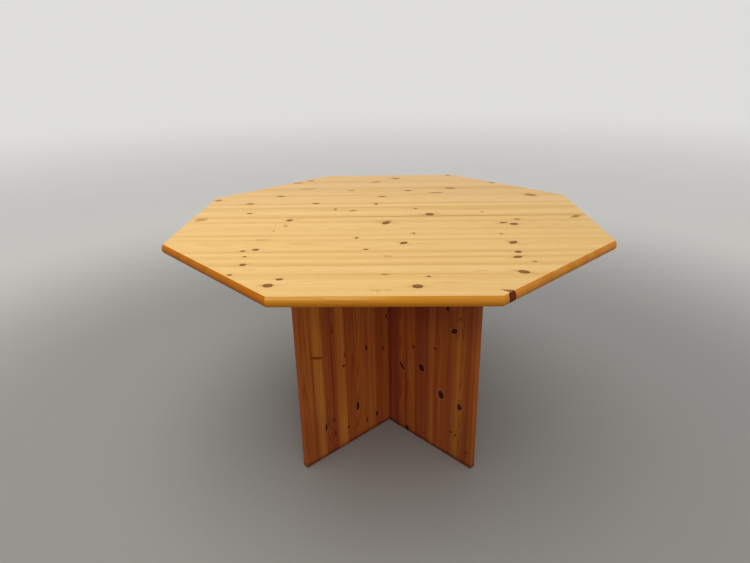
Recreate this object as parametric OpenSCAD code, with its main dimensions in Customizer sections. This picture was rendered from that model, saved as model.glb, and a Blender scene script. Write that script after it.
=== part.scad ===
// Octagonal extending dining table in pine.
// Two half tops slide apart on wooden runners over a crossed-board pedestal.
// One loose leaf lies on the fixed rails, under the closed top.
// Millimetres. Origin on the floor under the middle of the pedestal, +Z up,
// -Y is the front. The top parts along the X axis, at y = 0.

/* [Top] */
// Width of the octagon across its flats, over its crowned edge
top_w = 1210; // [1150:10:1250]
// Height of the top's upper face above the floor
table_h = 737; // [720:1:760]
// Thickness of the top and of the leaf
top_t = 25; // [22:0.5:28]
// How far the crowned outer edge stands out past its arrises
crown = 5; // [3:0.5:6]
// Radius of those arrises
edge_r = 1; // [0.6:0.2:1.6]
// Radius of the eight upright corners
corner_r = 8; // [7:0.5:12]
// Gap between the two halves when they are shut
seam_gap = 0.6; // [0.4:0.1:1]
// Chamfer along the upper edge of the seam
seam_c = 0.8; // [0.4:0.1:1.5]

/* [Leaf] */
// Width of the loose leaf, along Y
leaf_w = 384; // [360:4:400]
// Clearance between the stored leaf and the top above it
leaf_gap = 3.5; // [3:0.5:6]

/* [Pedestal] */
// Full width of each crossed board
panel_w = 736; // [700:2:760]
// Thickness of the crossed boards
panel_t = 18; // [18:1:22]
// Radius of the eased edges of the crossed boards
panel_ease = 2.5; // [2:0.5:3.5]
// Radius of their lower corners
panel_r = 4; // [4:0.5:10]
// Play in each half-lap slot, per side
lap_play = 0.2; // [0.1:0.05:0.4]
// Height of the glides under the boards
glide_h = 1.5; // [1.5:0.5:4]
// Diameter of the glides
glide_d = 16; // [12:1:18]

/* [Slides] */
// Distance from the middle to the centre of each fixed rail
rail_x = 200; // [190:5:210]
// Width of a fixed rail
rail_w = 28; // [26:1:32]
// Height of a fixed rail
rail_h = 45; // [42:1:50]
// Length of a fixed rail
rail_len = 480; // [460:10:520]
// Width of a runner
runner_w = 22; // [20:1:24]
// Depth of the rail's groove on each side
groove_d = 8; // [6:1:9]
// Height of the rail's groove
groove_h = 12.4; // [12:0.2:14]
// Height of the bearers under the rails
bearer_h = 28; // [24:1:32]
// Width of the bearers
bearer_w = 44; // [42:1:50]
// Distance from the middle to the centre line of a bearer
bearer_y = 190; // [185:1:195]
// Length of a bearer
bearer_len = 500; // [490:10:520]

/* [Dowels] */
// Radius of the dowels that line up the halves
pin_r = 4; // [3:0.5:5]
// Length of a dowel that stands out of the edge
pin_out = 12; // [10:1:14]
// Radial play of a dowel in its hole
pin_play = 0.2; // [0.15:0.05:0.3]

/* [Hidden] */
$fn = 48;

pine = "#E3B56B";
pine_dark = "#8A4A1C";
beech = "#D9B282";
steel = "#B8B8B4";
nylon = "#8A5A30";
dowel_c = "#E2C79A";

half = top_w / 2;                         // centre to a flat
z_under = table_h - top_t;                // underside of the top
leaf_z1 = z_under - leaf_gap;             // upper face of the stored leaf
leaf_z0 = leaf_z1 - top_t;                // its lower face, on the rails
rail_z1 = leaf_z0;
rail_z0 = rail_z1 - rail_h;
run_z1 = rail_z1 - 0.5;                   // runner tops stay clear of the leaf
run_z0 = rail_z0 + 3;                     // and their undersides clear of the bearers
bear_z0 = rail_z0 - bearer_h;
panel_z1 = bear_z0;
panel_z0 = glide_h;
lap_z = (panel_z0 + panel_z1) / 2;
groove_z = (rail_z0 + rail_z1) / 2;
travel = leaf_w / 2 + pin_out + 1;         // of each half, so that the leaf drops in between
run_in = 190;                             // inner end of a runner, past the middle
run_out = 430;                            // outer end
side_play = 0.5;
out_x0 = rail_x + rail_w / 2 + side_play; // outer runner, for the front half
in_x1 = rail_x - rail_w / 2 - side_play;  // inner runner, for the rear half
cleat_w = 40;
cleat_y0 = 226;
cleat_y1 = 520;
stop_len = 40;
stop_y0 = travel - (bearer_y - bearer_w / 2) + 0.3;   // meets the bearer at full travel
pin_xs = [-430, -140, 140, 430];
cleat_screw_y = [256, 372, 488];
runner_screw_y = [252, 326, 400];
e = 0.01;

// ---------- shapes ----------

// a corner of a polygon, rounded: p is the corner, a and b the points before and after it
function unit(v) = v / norm(v);
function fillet(a, p, b, r, n = 5) =
    let (u = unit(a - p), v = unit(b - p),
         h = acos(u * v) / 2,
         c = p + unit(u + v) * (r / sin(h)),
         t0 = p + u * (r / tan(h)), t1 = p + v * (r / tan(h)),
         a0 = atan2(t0[1] - c[1], t0[0] - c[0]),
         a1r = atan2(t1[1] - c[1], t1[0] - c[0]),
         a1 = a1r - a0 > 180 ? a1r - 360 : a1r - a0 < -180 ? a1r + 360 : a1r)
    [for (i = [0:n]) c + r * [cos(a0 + (a1 - a0) * i / n), sin(a0 + (a1 - a0) * i / n)]];

// half an octagon on the -Y side, its outer edges moved in by s
function half_octagon(s) =
    let (k = half - s, h = k * tan(22.5), g = seam_gap / 2, r = corner_r - s,
         p = [[-k, -g], [-k, -h], [-h, -k], [h, -k], [k, -h], [k, -g]])
    concat([p[0]],
           fillet(p[0], p[1], p[2], r), fillet(p[1], p[2], p[3], r),
           fillet(p[2], p[3], p[4], r), fillet(p[3], p[4], p[5], r),
           [p[5]]);

// [inset, rise] pairs from the widest line of the crowned edge to the face that is h away
function crown_part(h, n = 5, k = 3) =
    let (c = crown, r = edge_r, q = (h * h + c * c) / (2 * c),
         a = asin((h - r) / (q - r)), i = q - (q - r) * cos(a))
    concat([for (j = [0:n]) [q * (1 - cos(a * j / n)), q * sin(a * j / n)]],
           [for (j = [1:k]) let (f = a + (90 - a) * j / k) [i - r * cos(f), h - r + r * sin(f)]]);

// [inset, height] pairs up the whole edge, which is widest below its middle
edge_line = let (m = 0.4 * top_t, low = crown_part(m), high = crown_part(top_t - m))
    concat([for (j = [len(low) - 1:-1:1]) [low[j][0], m - low[j][1]]],
           [for (q = high) [q[0], m + q[1]]]);

// rings of points, one above the other, closed into a solid
module stacked(rings) {
    n = len(rings[0]);
    m = len(rings);
    polyhedron(convexity = 4, points = [for (g = rings) for (p = g) p],
               faces = concat([[for (i = [0:n - 1]) i]],
                              [[for (i = [n - 1:-1:0]) (m - 1) * n + i]],
                              [for (k = [0:m - 2]) for (i = [0:n - 1]) let (j = (i + 1) % n)
                                  [k * n + i, (k + 1) * n + i, (k + 1) * n + j, k * n + j]]));
}

module half_board() {
    difference() {
        stacked([for (q = edge_line) [for (p = half_octagon(q[0])) [p[0], p[1], q[1]]]]);
        // the chamfer along the seam
        translate([-top_w, -seam_gap / 2, top_t]) rotate([90, 0, 90]) linear_extrude(2 * top_w)
            polygon([[-seam_c - 1, 1], [1, -seam_c - 1], [1, 1]]);
    }
}

// a bar along Y with its long edges chamfered
module bar_y(x0, x1, y0, y1, z0, z1, c = 1.5)
    translate([0, y1, 0]) rotate([90, 0, 0]) linear_extrude(y1 - y0)
        polygon([[x0 + c, z0], [x1 - c, z0], [x1, z0 + c], [x1, z1 - c],
                 [x1 - c, z1], [x0 + c, z1], [x0, z1 - c], [x0, z0 + c]]);

// a bar along X with its long edges chamfered
module bar_x(x0, x1, y0, y1, z0, z1, c = 1.5)
    translate([x0, 0, 0]) rotate([90, 0, 90]) linear_extrude(x1 - x0)
        polygon([[y0 + c, z0], [y1 - c, z0], [y1, z0 + c], [y1, z1 - c],
                 [y1 - c, z1], [y0 + c, z1], [y0, z1 - c], [y0, z0 + c]]);

// countersunk wood screw: flat of the head at z = 0, point upwards
module screw(len, r, hr, grow = 0) {
    hh = hr - r;
    difference() {
        union() {
            cylinder(h = hh, r1 = hr + grow, r2 = r + grow);
            cylinder(h = len - 2 * r + grow, r = r + grow);
            translate([0, 0, len - 2 * r + grow])
                cylinder(h = 2 * r, r1 = r + grow, r2 = 0.2 + grow);
        }
        if (grow == 0) for (a = [0, 90]) rotate([0, 0, a])
            translate([-hr * 0.55, -0.45, -1]) cube([hr * 1.1, 0.9, 2]);
    }
}

// the hole that a screw leaves: its own shape, a touch larger, open below
module screw_hole(len, r, hr) {
    screw(len, r, hr, 0.03);
    translate([0, 0, -20]) cylinder(h = 20.01, r = hr + 0.03);
}

module dowel(len, r)
    union() {
        cylinder(h = 1, r1 = r - 0.8, r2 = r);
        translate([0, 0, 1]) cylinder(h = len - 2, r = r);
        translate([0, 0, len - 1]) cylinder(h = 1, r1 = r, r2 = r - 0.8);
    }

// ---------- where the fasteners go ----------

module at_front_cleat_screws()
    for (s = [-1, 1], y = cleat_screw_y)
        translate([s * (out_x0 + cleat_w - 9), -y, run_z1]) children();
module at_rear_cleat_screws()
    for (s = [-1, 1], y = cleat_screw_y)
        translate([s * (in_x1 - cleat_w + 9), y, run_z1]) children();
module at_front_runner_screws()
    for (s = [-1, 1], y = runner_screw_y)
        translate([s * (out_x0 + runner_w / 2), -y, run_z0 + 10]) children();
module at_rear_runner_screws()
    for (s = [-1, 1], y = runner_screw_y)
        translate([s * (in_x1 - runner_w / 2), y, run_z0 + 10]) children();
module at_front_stop_screws()
    for (s = [-1, 1], y = [10, stop_len - 10])
        translate([s * (out_x0 + runner_w / 2), stop_y0 + y, run_z0 - 24]) children();
module at_rear_stop_screws()
    for (s = [-1, 1], y = [10, stop_len - 10])
        translate([s * (in_x1 - runner_w / 2), -stop_y0 - y, run_z0 - 24]) children();
module at_rail_screws()
    for (s = [-1, 1], v = [-1, 1], y = [-14, 14])
        translate([s * rail_x, v * (bearer_y + y), bear_z0]) children();

// each bracket: along the wing by s, on face f of it; children see x along the wing,
// y away from its face and z = 0 at the bearer's underside
br_leg = 30;
br_w = 15;
br_t = 2;
module at_brackets()
    for (q = [0:3]) for (f = [-1, 1]) {
        // the flange's middle has to lie under the bearer's centre line
        out = (q % 2 == 0) ? f : -f;
        s = (bearer_y + (out < 0 ? 1 : -1) * (panel_t / 2 + br_leg / 2) * cos(45)) / cos(45);
        rotate([0, 0, 45 + 90 * q]) translate([s, f * panel_t / 2, bear_z0])
            mirror([0, f < 0 ? 1 : 0, 0]) children();
    }

// ---------- base ----------

// half of a board's cross-section: w wide, panel_t thick, its outer end eased
module eased_end(w) {
    translate([0, -panel_t / 2]) square([w - panel_ease, panel_t]);
    translate([0, panel_ease - panel_t / 2]) square([w, panel_t - 2 * panel_ease]);
    for (v = [-1, 1])
        translate([w - panel_ease, v * (panel_t / 2 - panel_ease)]) circle(r = panel_ease);
}

// one half of a board along +X: its upright edge, its lower edge and the corner between
module half_panel() {
    k = panel_w / 2;
    union() {
        translate([0, 0, panel_z0 + panel_r])
            linear_extrude(panel_z1 - panel_z0 - panel_r) eased_end(k);
        translate([0, 0, panel_z0 + 3 * panel_r]) rotate([90, 0, 90])
            linear_extrude(k - panel_r) rotate(-90) eased_end(3 * panel_r);
        translate([k - panel_r, 0, panel_z0 + panel_r]) rotate([90, 0, 0])
            rotate_extrude() eased_end(panel_r);
    }
}

module panel_blank()
    union() {
        half_panel();
        mirror([1, 0, 0]) half_panel();
    }

module glide_holes()
    for (s = [-1, 1]) translate([s * (panel_w / 2 - 22), 0, panel_z0 - 1])
        cylinder(h = 13.1, r = 1.03);

// the full board that runs from front left to rear right, slotted from above
module base_panel_a() {
    color(pine_dark) difference() {
        rotate([0, 0, 45]) difference() {
            panel_blank();
            translate([-panel_t / 2 - lap_play, -panel_t, lap_z])
                cube([panel_t + 2 * lap_play, 2 * panel_t, panel_z1]);
            glide_holes();
        }
        bracket_screw_cuts();
    }
}

// the full board that runs from front right to rear left, slotted from below
module base_panel_b() {
    color(pine_dark) difference() {
        rotate([0, 0, -45]) difference() {
            panel_blank();
            translate([-panel_t / 2 - lap_play, -panel_t, -1])
                cube([panel_t + 2 * lap_play, 2 * panel_t, lap_z + lap_play + 1]);
            glide_holes();
        }
        bracket_screw_cuts();
    }
}

module floor_glides() {
    color(nylon) for (q = [0:3]) rotate([0, 0, 45 + 90 * q])
        translate([panel_w / 2 - 22, 0, 0]) union() {
            cylinder(h = 1, r1 = glide_d / 2 - 1, r2 = glide_d / 2);
            translate([0, 0, 1]) cylinder(h = glide_h - 1, r = glide_d / 2);
            cylinder(h = glide_h + 11, r = 1);
        }
}

module bearer(s) {
    color(beech) difference() {
        bar_x(-bearer_len / 2, bearer_len / 2,
              s * bearer_y - bearer_w / 2, s * bearer_y + bearer_w / 2, bear_z0, rail_z0);
        at_rail_screws() screw_hole(60, 2.5, 5);
        bracket_screw_cuts();
    }
}
module front_bearer() bearer(-1);
module rear_bearer() bearer(1);

module rail(s) {
    color(beech) difference() {
        bar_y(s * rail_x - rail_w / 2, s * rail_x + rail_w / 2,
              -rail_len / 2, rail_len / 2, rail_z0, rail_z1);
        for (g = [-1, 1])
            translate([s * rail_x + g * (rail_w / 2 - groove_d / 2), 0, groove_z])
                cube([groove_d + e, rail_len + 2, groove_h], center = true);
        at_rail_screws() screw_hole(60, 2.5, 5);
    }
}
module left_rail() rail(-1);
module right_rail() rail(1);

// a steel angle: one leg up against the board, the other up against the bearer
module angle() {
    difference() {
        translate([-br_w / 2, 0, -br_leg]) union() {
            cube([br_w, br_t, br_leg]);
            translate([0, 0, br_leg - br_t]) cube([br_w, br_leg, br_t]);
        }
        for (d = [10, 23]) {
            translate([0, d, -br_t - 1]) cylinder(h = br_t + 2, r = 2);
            translate([0, -1, -d]) rotate([-90, 0, 0]) cylinder(h = br_t + 2, r = 2);
        }
    }
}

module angle_brackets() { color(steel) at_brackets() angle(); }

// round-headed screws, seated on the legs of the angle
module round_screw(grow = 0)
    union() {
        if (grow == 0) intersection() {
            translate([0, 0, 1.6]) sphere(r = 4);
            translate([-4, -4, -2.4]) cube([8, 8, 2.4]);
        }
        translate([0, 0, -0.01]) cylinder(h = 13 + grow, r = 1.6 + grow);
        translate([0, 0, 12.98 + grow]) cylinder(h = 2.4, r1 = 1.6 + grow, r2 = 0.2 + grow);
    }

module at_bracket_screws()
    at_brackets() for (d = [10, 23]) {
        translate([0, d, -br_t]) children();
        translate([0, br_t, -d]) rotate([90, 0, 0]) children();
    }

module bracket_screws() { color(steel) at_bracket_screws() round_screw(); }
module bracket_screw_cuts() { at_bracket_screws() round_screw(0.03); }

module rail_screws() { color(steel) at_rail_screws() screw(60, 2.5, 5); }

// ---------- front half ----------

module front_dowel_places()
    for (x = pin_xs) translate([x, -seam_gap / 2, table_h - top_t / 2])
        rotate([-90, 0, 0]) children();

module top_front() {
    color(pine) difference() {
        translate([0, 0, z_under]) half_board();
        front_dowel_places() translate([0, 0, -18]) cylinder(h = 20, r = pin_r + 0.02);
        at_front_cleat_screws() screw_hole(45, 2, 4);
    }
}

module front_dowels() {
    color(dowel_c) front_dowel_places() translate([0, 0, -17.8])
        dowel(17.8 + pin_out, pin_r);
}

module cleat(x0, x1, y0, y1)
    bar_y(x0, x1, y0, y1, run_z1, z_under, 1.5);

module front_cleat(s) {
    x0 = s > 0 ? out_x0 : -out_x0 - cleat_w;
    color(beech) difference() {
        cleat(x0, x0 + cleat_w, -cleat_y1, -cleat_y0);
        at_front_cleat_screws() screw_hole(45, 2, 4);
        at_front_runner_screws() screw_hole(56, 2.25, 4.5);
    }
}
module front_left_cleat() front_cleat(-1);
module front_right_cleat() front_cleat(1);

// the profile of a runner, seen from the side: its outer end is cut back below
module runner_side(w)
    translate([-w / 2, 0, 0]) rotate([90, 0, 90]) linear_extrude(w)
        polygon([[-run_in, run_z0], [run_out - 24, run_z0], [run_out, run_z0 + 24],
                 [run_out, run_z1], [-run_in, run_z1]]);

// a runner for +Y, with its tongue on the +X side
module runner(w) {
    union() {
        runner_side(w);
        translate([w / 2 - e, -run_in, groove_z - groove_h / 2 + 0.2])
            cube([side_play + groove_d - 0.5 + e, run_in + run_out - 12, groove_h - 0.4]);
    }
}

module front_runner(s) {
    color(beech) difference() {
        // the front half's runners lie outside the rails, their tongues turned in
        translate([s * (out_x0 + runner_w / 2), 0, 0])
            mirror([s > 0 ? 1 : 0, 0, 0]) mirror([0, 1, 0]) runner(runner_w);
        at_front_runner_screws() screw_hole(56, 2.25, 4.5);
        at_front_stop_screws() screw_hole(40, 2, 4);
    }
}
module front_left_runner() front_runner(-1);
module front_right_runner() front_runner(1);

module stop_block(s, x, y0, y1)
    bar_y(s * x - runner_w / 2, s * x + runner_w / 2, y0, y1, run_z0 - 24, run_z0, 1);

module front_stop(s) {
    color(beech) difference() {
        stop_block(s, out_x0 + runner_w / 2, stop_y0, stop_y0 + stop_len);
        at_front_stop_screws() screw_hole(40, 2, 4);
    }
}
module front_left_stop() front_stop(-1);
module front_right_stop() front_stop(1);

module front_cleat_screws() { color(steel) at_front_cleat_screws() screw(45, 2, 4); }
module front_runner_screws() { color(steel) at_front_runner_screws() screw(56, 2.25, 4.5); }
module front_stop_screws() { color(steel) at_front_stop_screws() screw(40, 2, 4); }

// ---------- rear half ----------

module top_rear() {
    color(pine) difference() {
        translate([0, 0, z_under]) mirror([0, 1, 0]) half_board();
        for (x = pin_xs) translate([x, seam_gap / 2 - 1, table_h - top_t / 2])
            rotate([-90, 0, 0]) cylinder(h = pin_out + 4, r = pin_r + pin_play);
        at_rear_cleat_screws() screw_hole(45, 2, 4);
    }
}

module rear_cleat(s) {
    x0 = s > 0 ? in_x1 - cleat_w : -in_x1;
    color(beech) difference() {
        cleat(x0, x0 + cleat_w, cleat_y0, cleat_y1);
        at_rear_cleat_screws() screw_hole(45, 2, 4);
        at_rear_runner_screws() screw_hole(56, 2.25, 4.5);
    }
}
module rear_left_cleat() rear_cleat(-1);
module rear_right_cleat() rear_cleat(1);

module rear_runner(s) {
    color(beech) difference() {
        // the rear half's runners lie inside the rails, their tongues turned out
        translate([s * (in_x1 - runner_w / 2), 0, 0])
            mirror([s > 0 ? 0 : 1, 0, 0]) runner(runner_w);
        at_rear_runner_screws() screw_hole(56, 2.25, 4.5);
        at_rear_stop_screws() screw_hole(40, 2, 4);
    }
}
module rear_left_runner() rear_runner(-1);
module rear_right_runner() rear_runner(1);

module rear_stop(s) {
    color(beech) difference() {
        stop_block(s, in_x1 - runner_w / 2, -stop_y0 - stop_len, -stop_y0);
        at_rear_stop_screws() screw_hole(40, 2, 4);
    }
}
module rear_left_stop() rear_stop(-1);
module rear_right_stop() rear_stop(1);

module rear_cleat_screws() { color(steel) at_rear_cleat_screws() screw(45, 2, 4); }
module rear_runner_screws() { color(steel) at_rear_runner_screws() screw(56, 2.25, 4.5); }
module rear_stop_screws() { color(steel) at_rear_stop_screws() screw(40, 2, 4); }

// ---------- leaf ----------

// the two ends are crowned like the rest of the table's edge, the long edges are square
module leaf_blank()
    translate([0, leaf_w / 2, leaf_z0]) rotate([90, 0, 0]) linear_extrude(leaf_w)
        polygon(concat([for (q = edge_line) [half - q[0], q[1]]],
                       [for (j = [len(edge_line) - 1:-1:0]) [edge_line[j][0] - half, edge_line[j][1]]]));

module leaf() {
    color(pine) difference() {
        leaf_blank();
        // holes for the front half's dowels
        for (x = pin_xs) translate([x, -leaf_w / 2 - 1, leaf_z0 + top_t / 2])
            rotate([-90, 0, 0]) cylinder(h = pin_out + 4, r = pin_r + pin_play);
        for (x = pin_xs) translate([x, leaf_w / 2 - 18, leaf_z0 + top_t / 2])
            rotate([-90, 0, 0]) cylinder(h = 20, r = pin_r + 0.02);
    }
}

module leaf_dowels() {
    color(dowel_c) for (x = pin_xs)
        translate([x, leaf_w / 2 - 17.8, leaf_z0 + top_t / 2])
            rotate([-90, 0, 0]) dowel(17.8 + pin_out, pin_r);
}

top_front();
top_rear();
leaf();
base_panel_a();
base_panel_b();
floor_glides();
front_bearer();
rear_bearer();
left_rail();
right_rail();
front_left_cleat();
front_right_cleat();
rear_left_cleat();
rear_right_cleat();
front_left_runner();
front_right_runner();
rear_left_runner();
rear_right_runner();
front_left_stop();
front_right_stop();
rear_left_stop();
rear_right_stop();
front_dowels();
leaf_dowels();
angle_brackets();
bracket_screws();
rail_screws();
front_cleat_screws();
rear_cleat_screws();
front_runner_screws();
rear_runner_screws();
front_stop_screws();
rear_stop_screws();
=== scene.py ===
import math
import random

import bpy
from mathutils import Matrix, Vector

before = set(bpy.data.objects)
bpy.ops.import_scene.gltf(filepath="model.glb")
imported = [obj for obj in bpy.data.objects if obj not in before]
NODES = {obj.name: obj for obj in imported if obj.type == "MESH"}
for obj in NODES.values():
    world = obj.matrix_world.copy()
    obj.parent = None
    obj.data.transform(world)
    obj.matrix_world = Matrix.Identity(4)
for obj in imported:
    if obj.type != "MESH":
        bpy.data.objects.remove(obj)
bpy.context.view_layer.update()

scene = bpy.context.scene
scene.view_settings.view_transform = "Standard"
scene.view_settings.look = "None"


# ---------------------------------------------------------------- camera

def make_camera():
    yaw, pitch, roll = (math.radians(a) for a in (-2.24, 22.4, -1.19))
    f = Vector((math.sin(yaw) * math.cos(pitch), math.cos(yaw) * math.cos(pitch), -math.sin(pitch)))
    r = Vector((math.cos(yaw), -math.sin(yaw), 0.0))
    u = r.cross(f)
    r2 = math.cos(roll) * r + math.sin(roll) * u
    u2 = -math.sin(roll) * r + math.cos(roll) * u
    data = bpy.data.cameras.new("camera")
    data.sensor_fit = "HORIZONTAL"
    data.sensor_width = 36.0
    data.lens = 568.5 / 750.0 * 36.0
    data.clip_start, data.clip_end = 0.05, 60.0
    cam = bpy.data.objects.new("camera", data)
    scene.collection.objects.link(cam)
    m = Matrix((r2, u2, -f)).transposed().to_4x4()
    m.translation = Vector((0.0252, -1.6812, 1.2158))
    cam.matrix_world = m
    scene.camera = cam


make_camera()


# ---------------------------------------------------------------- node trees

def lin(r, g, b):
    """A colour given as sRGB 0-255, as linear values."""
    def one(c):
        c /= 255.0
        return c / 12.92 if c <= 0.04045 else ((c + 0.055) / 1.055) ** 2.4
    return (one(r), one(g), one(b))


class Tree:
    """Builds one material's nodes. Each method returns the output socket of the node it adds."""

    def __init__(self, name):
        self.mat = bpy.data.materials.new(name)
        self.mat.use_nodes = True
        self.nt = self.mat.node_tree
        self.nt.nodes.clear()
        self.at = 0

    def node(self, kind):
        n = self.nt.nodes.new(kind)
        n.location = (180 * (self.at % 40), -220 * (self.at // 40))
        self.at += 1
        return n

    def put(self, socket, value):
        if isinstance(value, bpy.types.NodeSocket):
            self.nt.links.new(value, socket)
        elif value is not None:
            if hasattr(socket.default_value, "__len__"):
                n = len(socket.default_value)
                value = tuple(value) if hasattr(value, "__len__") else (value,) * n
                socket.default_value = value if len(value) == n else value + (1.0,)
            else:
                socket.default_value = value

    def m(self, op, a, b=None, c=None, clamp=False):
        n = self.node("ShaderNodeMath")
        n.operation = op
        n.use_clamp = clamp
        for s, v in zip(n.inputs, (a, b, c)):
            self.put(s, v)
        return n.outputs[0]

    def v(self, op, a, b=None, c=None, scale=None):
        n = self.node("ShaderNodeVectorMath")
        n.operation = op
        for s, v in zip(n.inputs, (a, b, c)):
            self.put(s, v)
        if scale is not None:
            self.put(n.inputs["Scale"], scale)
        return n.outputs["Value" if op in ("DOT_PRODUCT", "LENGTH", "DISTANCE") else "Vector"]

    def sep(self, vec):
        n = self.node("ShaderNodeSeparateXYZ")
        self.put(n.inputs[0], vec)
        return n.outputs[0], n.outputs[1], n.outputs[2]

    def comb(self, x, y, z):
        n = self.node("ShaderNodeCombineXYZ")
        for s, v in zip(n.inputs, (x, y, z)):
            self.put(s, v)
        return n.outputs[0]

    def rgb(self, col):
        n = self.node("ShaderNodeSeparateColor")
        self.put(n.inputs[0], col)
        return n.outputs[0], n.outputs[1], n.outputs[2]

    def mix(self, fac, a, b, blend="MIX"):
        n = self.node("ShaderNodeMix")
        n.data_type = "RGBA"
        n.blend_type = blend
        n.clamp_factor = True
        self.put(n.inputs["Factor"], fac)
        self.put(n.inputs[6], a)
        self.put(n.inputs[7], b)
        return n.outputs[2]

    def mixf(self, fac, a, b):
        n = self.node("ShaderNodeMix")
        n.data_type = "FLOAT"
        self.put(n.inputs["Factor"], fac)
        self.put(n.inputs[2], a)
        self.put(n.inputs[3], b)
        return n.outputs[0]

    def tint(self, colour, factor):
        """colour times a grey or coloured factor."""
        return self.v("MULTIPLY", colour, factor)

    def noise(self, vec, scale=1.0, detail=2.0, rough=0.5, dims="3D", w=None, colour=False):
        n = self.node("ShaderNodeTexNoise")
        n.noise_dimensions = dims
        n.normalize = True
        if dims != "1D":
            self.put(n.inputs["Vector"], vec)
        if w is not None:
            self.put(n.inputs["W"], w)
        self.put(n.inputs["Scale"], scale)
        self.put(n.inputs["Detail"], detail)
        self.put(n.inputs["Roughness"], rough)
        return n.outputs["Color" if colour else "Fac"]

    def white(self, w):
        n = self.node("ShaderNodeTexWhiteNoise")
        n.noise_dimensions = "1D"
        self.put(n.inputs["W"], w)
        return n.outputs["Value"], n.outputs["Color"]

    def smooth(self, x, low, high, a=0.0, b=1.0, kind="SMOOTHSTEP"):
        n = self.node("ShaderNodeMapRange")
        n.interpolation_type = kind
        n.clamp = True
        for name, v in (("Value", x), ("From Min", low), ("From Max", high), ("To Min", a), ("To Max", b)):
            self.put(n.inputs[name], v)
        return n.outputs["Result"]

    def ramp(self, x, stops, kind="CONSTANT"):
        """stops: (position, (r, g, b)) in rising order."""
        n = self.node("ShaderNodeValToRGB")
        r = n.color_ramp
        r.interpolation = kind
        while len(r.elements) < len(stops):
            r.elements.new(0.5)
        # the elements are kept in order of position, so the positions go first
        for e, (p, _) in zip(list(r.elements), stops):
            e.position = p
        for e, (p, c) in zip(r.elements, stops):
            e.position = p
            e.color = (*c, 1.0)
        self.put(n.inputs[0], x)
        return n.outputs[0]

    def bump(self, height, strength, distance):
        n = self.node("ShaderNodeBump")
        self.put(n.inputs["Strength"], strength)
        self.put(n.inputs["Distance"], distance)
        self.put(n.inputs["Height"], height)
        return n.outputs[0]

    def here(self):
        """The point's place in the object's own space, in metres, which rides with its body."""
        return self.node("ShaderNodeTexCoord").outputs["Object"]

    def facing(self):
        """The surface normal in the object's own space."""
        return self.node("ShaderNodeTexCoord").outputs["Normal"]

    def finish(self, colour, rough, normal=None, **plain):
        p = self.node("ShaderNodeBsdfPrincipled")
        self.put(p.inputs["Base Color"], colour)
        self.put(p.inputs["Roughness"], rough)
        if normal is not None:
            self.put(p.inputs["Normal"], normal)
        for name, value in plain.items():
            p.inputs[name.replace("_", " ")].default_value = value
        out = self.node("ShaderNodeOutputMaterial")
        self.nt.links.new(p.outputs[0], out.inputs[0])
        return self.mat


# ---------------------------------------------------------------- pine

# How strong each kind of knot is, and what it is like.
# d: dark and crisp, m: medium, n: weaker, f: faint, c: a branch cut along its length,
# w: such a branch as a wedge, given as (tip, tip, length, half its width at that length, tilt).
# Knots are (along the grain, across the board, radius along, radius across, tilt in degrees, kind), all in mm.
# Streaks are (along, across, half length, half width, how dark), in mm.


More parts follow.
